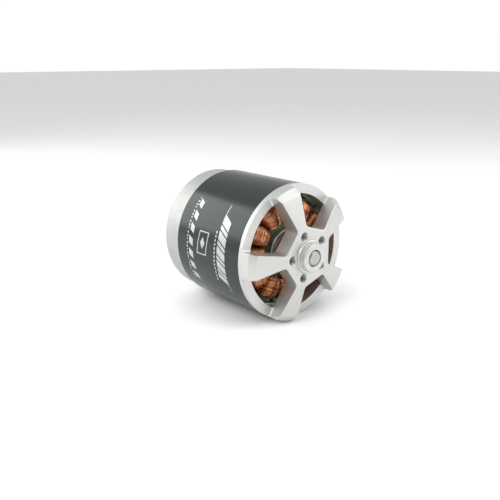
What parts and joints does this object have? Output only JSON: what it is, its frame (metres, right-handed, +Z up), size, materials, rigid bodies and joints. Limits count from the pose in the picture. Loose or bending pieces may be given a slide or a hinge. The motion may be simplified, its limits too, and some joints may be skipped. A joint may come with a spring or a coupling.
{
  "type": "brushless outrunner motor",
  "caption": "Cylindrical outrunner motor with an open spoked front bell, dark rotor sleeve, copper coils visible through the windows, tapped hub and flat rear mounting face.",
  "frame": {"origin": "centre of the rear mounting face, on the shaft axis", "axes": "+X along the shaft towards the propeller side, +Z up, Y across"},
  "size_m": [0.0584, 0.05, 0.05],
  "materials": {
    "bell_aluminium": "satin machined",
    "mount_aluminium": "satin machined",
    "flux_steel": "black plated steel",
    "sleeve_film": "satin printed film",
    "magnet_nickel": "nickel plated",
    "shaft_steel": "ground",
    "black_screw": "black oxide",
    "shim_steel": "plain",
    "stator_coat": "olive epoxy coat",
    "copper_wire": "enamelled copper wire",
    "bearing_steel": "polished",
    "shield_steel": "pressed sheet",
    "cage_brass": "pressed sheet"
  },
  "bodies": {
    "stator": {"rear_mount": "mount_aluminium", "stator_core": "stator_coat", "coil_01": "copper_wire", "coil_02": "copper_wire", "coil_03": "copper_wire", "coil_04": "copper_wire", "coil_05": "copper_wire", "coil_06": "copper_wire", "coil_07": "copper_wire", "coil_08": "copper_wire", "coil_09": "copper_wire", "coil_10": "copper_wire", "coil_11": "copper_wire", "coil_12": "copper_wire", "front_bearing_outer": "bearing_steel", "rear_bearing_outer": "bearing_steel", "front_bearing_shields": "shield_steel", "rear_bearing_shields": "shield_steel"},
    "rotor": {"front_bell": "bell_aluminium", "flux_ring": "flux_steel", "label_sleeve": "sleeve_film", "magnet_01": "magnet_nickel", "magnet_02": "magnet_nickel", "magnet_03": "magnet_nickel", "magnet_04": "magnet_nickel", "magnet_05": "magnet_nickel", "magnet_06": "magnet_nickel", "magnet_07": "magnet_nickel", "magnet_08": "magnet_nickel", "magnet_09": "magnet_nickel", "magnet_10": "magnet_nickel", "magnet_11": "magnet_nickel", "magnet_12": "magnet_nickel", "magnet_13": "magnet_nickel", "magnet_14": "magnet_nickel", "shaft": "shaft_steel", "grub_screws": "black_screw", "circlip": "black_screw", "rear_shim": "shim_steel", "front_shim": "shim_steel", "front_bearing_inner": "bearing_steel", "rear_bearing_inner": "bearing_steel"},
    "front_cage": {"front_bearing_balls": "bearing_steel", "front_bearing_cage": "cage_brass"},
    "rear_cage": {"rear_bearing_balls": "bearing_steel", "rear_bearing_cage": "cage_brass"}
  },
  "joints": [
    {"name": "rotor_spin", "type": "hinge", "parent": "stator", "child": "rotor", "pos_m": [0.025, 0, 0], "axis": [1, 0, 0], "continuous": true},
    {"name": "front_cage_spin", "type": "hinge", "parent": "stator", "child": "front_cage", "pos_m": [0.0413, 0, 0], "axis": [1, 0, 0], "continuous": true},
    {"name": "rear_cage_spin", "type": "hinge", "parent": "stator", "child": "rear_cage", "pos_m": [0.0054, 0, 0], "axis": [1, 0, 0], "continuous": true}
  ],
  "couplings": [
    {"joint": "front_cage_spin", "follows": "rotor_spin", "ratio": 0.4},
    {"joint": "rear_cage_spin", "follows": "rotor_spin", "ratio": 0.4}
  ]
}
